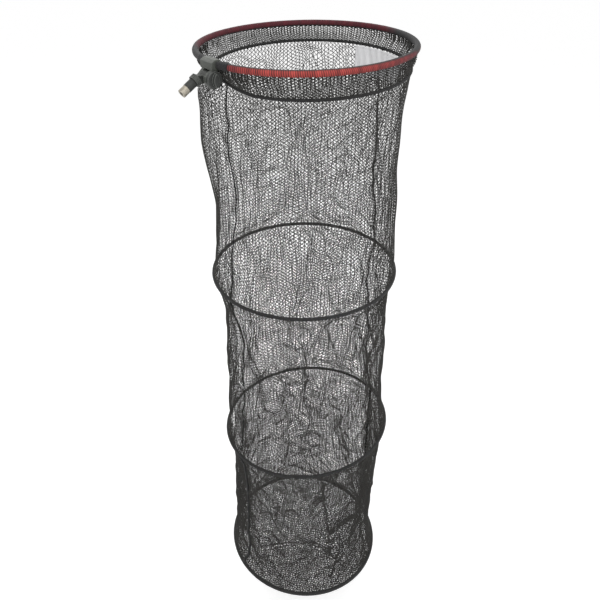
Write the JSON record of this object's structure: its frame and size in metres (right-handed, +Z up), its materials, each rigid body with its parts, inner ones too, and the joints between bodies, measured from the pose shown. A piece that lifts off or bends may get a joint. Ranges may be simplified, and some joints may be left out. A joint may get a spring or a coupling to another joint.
{
  "type": "keep net",
  "caption": "Round keep net on a padded rim and spaced hoops, held out from a bank stick by a tilting clamp with a knob.",
  "frame": {"origin": "centre of the mouth of the threaded socket, where the bank stick screws in", "axes": "+Z up, out of the net's mouth; +X from the socket across the middle of the rim; the knob is on the -Y side"},
  "size_m": [0.5335, 0.4736, 1.5388],
  "materials": {
    "netting": "fine charcoal mesh",
    "tape": "black woven tape and cord",
    "red_cover": "red ribbed weave",
    "black_band": "black end sleeve",
    "rim_alloy": "plain",
    "hoop_plastic": "plain",
    "ferrule_brass": "plain",
    "bolt_steel": "plain",
    "clamp_plastic": "satin moulding",
    "arm_plastic": "satin moulding",
    "knob_plastic": "satin moulding",
    "brass": "pale, satin",
    "label_cloth": "plain white cloth, bare"
  },
  "bodies": {
    "rim": {"rim_rod": "rim_alloy", "rim_joiner": "bolt_steel", "rim_cover": "red_cover", "rim_band_front": "black_band", "rim_band_rear": "black_band", "clamp_body": "clamp_plastic", "clamp_cap": "clamp_plastic", "clamp_screw_a": "bolt_steel", "clamp_screw_b": "bolt_steel", "pivot_bolt": "bolt_steel", "pivot_washer": "bolt_steel", "collar_net": "netting", "seam_cord": "tape", "label": "label_cloth", "upper_net": "netting"},
    "arm": {"arm_head": "arm_plastic", "socket_sleeve": "arm_plastic", "thread_insert": "brass"},
    "knob": {"knob": "knob_plastic", "knob_nut": "brass"},
    "upper_hoop": {"upper_hoop_rod": "hoop_plastic", "upper_hoop_ferrule": "ferrule_brass", "upper_hoop_tape": "tape", "middle_net": "netting"},
    "lower_hoop": {"lower_hoop_rod": "hoop_plastic", "lower_hoop_ferrule": "ferrule_brass", "lower_hoop_tape": "tape", "lower_net": "netting"},
    "base_hoop": {"base_hoop_rod": "hoop_plastic", "base_hoop_ferrule": "ferrule_brass", "base_hoop_tape": "tape", "base_net": "netting"}
  },
  "joints": [
    {"name": "arm_tilt", "type": "hinge", "parent": "rim", "child": "arm", "pos_m": [0.05655, 0, 0.01975], "axis": [0, 1, 0], "range_deg": [-60, 45]},
    {"name": "knob_turn", "type": "hinge", "parent": "rim", "child": "knob", "pos_m": [0.05655, 0, 0.01975], "axis": [0, -1, 0], "range_deg": [0, 540]},
    {"name": "upper_hoop_lift", "type": "slide", "parent": "rim", "child": "upper_hoop", "axis": [0, 0, 1], "range_m": [0, 0.455], "deforming": ["upper_net"]},
    {"name": "lower_hoop_lift", "type": "slide", "parent": "upper_hoop", "child": "lower_hoop", "axis": [0, 0, 1], "range_m": [0, 0.443], "deforming": ["middle_net"]},
    {"name": "base_hoop_lift", "type": "slide", "parent": "lower_hoop", "child": "base_hoop", "axis": [0, 0, 1], "range_m": [0, 0.458], "deforming": ["lower_net"]}
  ]
}
